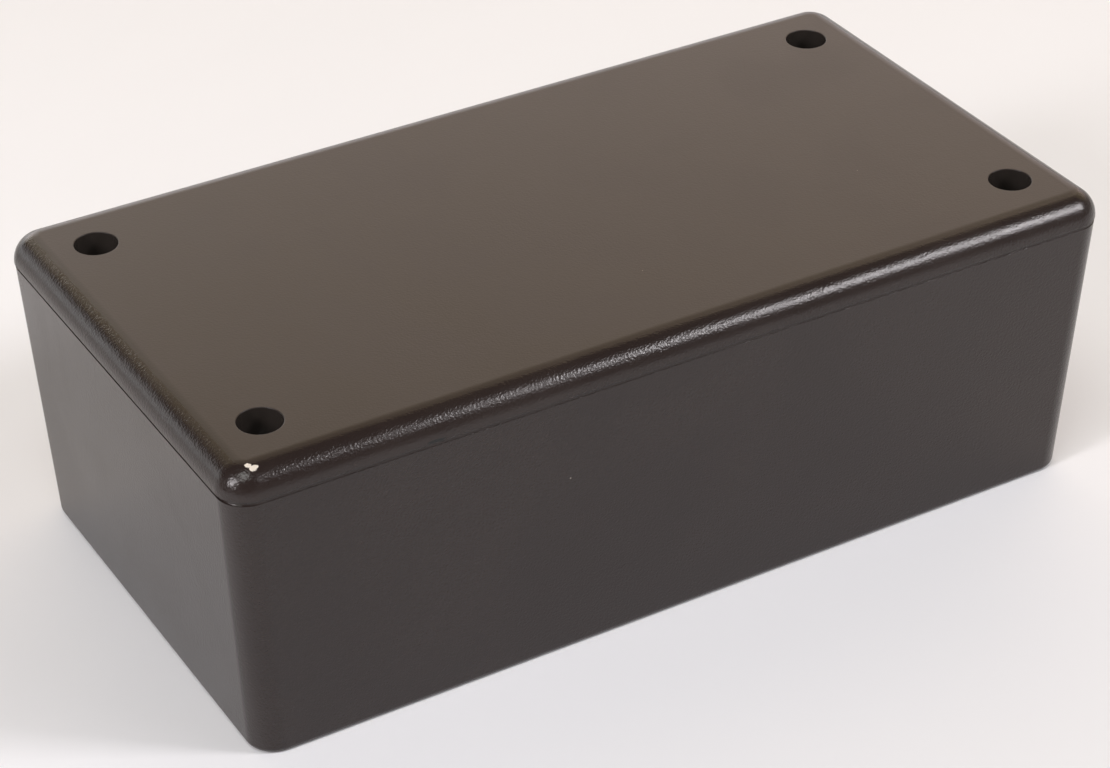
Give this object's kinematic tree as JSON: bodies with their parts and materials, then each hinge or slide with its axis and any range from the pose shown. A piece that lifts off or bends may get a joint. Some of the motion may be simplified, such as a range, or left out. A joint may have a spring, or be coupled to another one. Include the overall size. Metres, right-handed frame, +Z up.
{
  "type": "plastic project box",
  "caption": "Rectangular moulded plastic project box with tapered sides and a rounded screw-down lid, for housing a small electronic circuit.",
  "frame": {"origin": "centre of the resting face, under the middle of the box", "axes": "+X along the length, +Y across the width away from the front long side, +Z up towards the lid"},
  "size_m": [0.15, 0.079, 0.0505],
  "materials": {
    "shell": "black ABS with a fine spark-eroded grain, satin",
    "screw": "blackened steel, semi-matt",
    "bush": "turned and knurled brass"
  },
  "bodies": {
    "base": {"base": "shell", "bush_front_left": "bush", "bush_front_right": "bush", "bush_back_left": "bush", "bush_back_right": "bush"},
    "lid": {"lid": "shell"},
    "screw_front_left": {"screw_front_left": "screw"},
    "screw_front_right": {"screw_front_right": "screw"},
    "screw_back_left": {"screw_back_left": "screw"},
    "screw_back_right": {"screw_back_right": "screw"}
  },
  "joints": [
    {"name": "lid_lift", "type": "slide", "parent": "base", "child": "lid", "axis": [0, 0, 1], "range_m": [0, 0.08]},
    {"name": "screw_front_left_withdraw", "type": "slide", "parent": "lid", "child": "screw_front_left", "axis": [0, 0, 1], "range_m": [0, 0.02]},
    {"name": "screw_front_right_withdraw", "type": "slide", "parent": "lid", "child": "screw_front_right", "axis": [0, 0, 1], "range_m": [0, 0.02]},
    {"name": "screw_back_left_withdraw", "type": "slide", "parent": "lid", "child": "screw_back_left", "axis": [0, 0, 1], "range_m": [0, 0.02]},
    {"name": "screw_back_right_withdraw", "type": "slide", "parent": "lid", "child": "screw_back_right", "axis": [0, 0, 1], "range_m": [0, 0.02]}
  ]
}
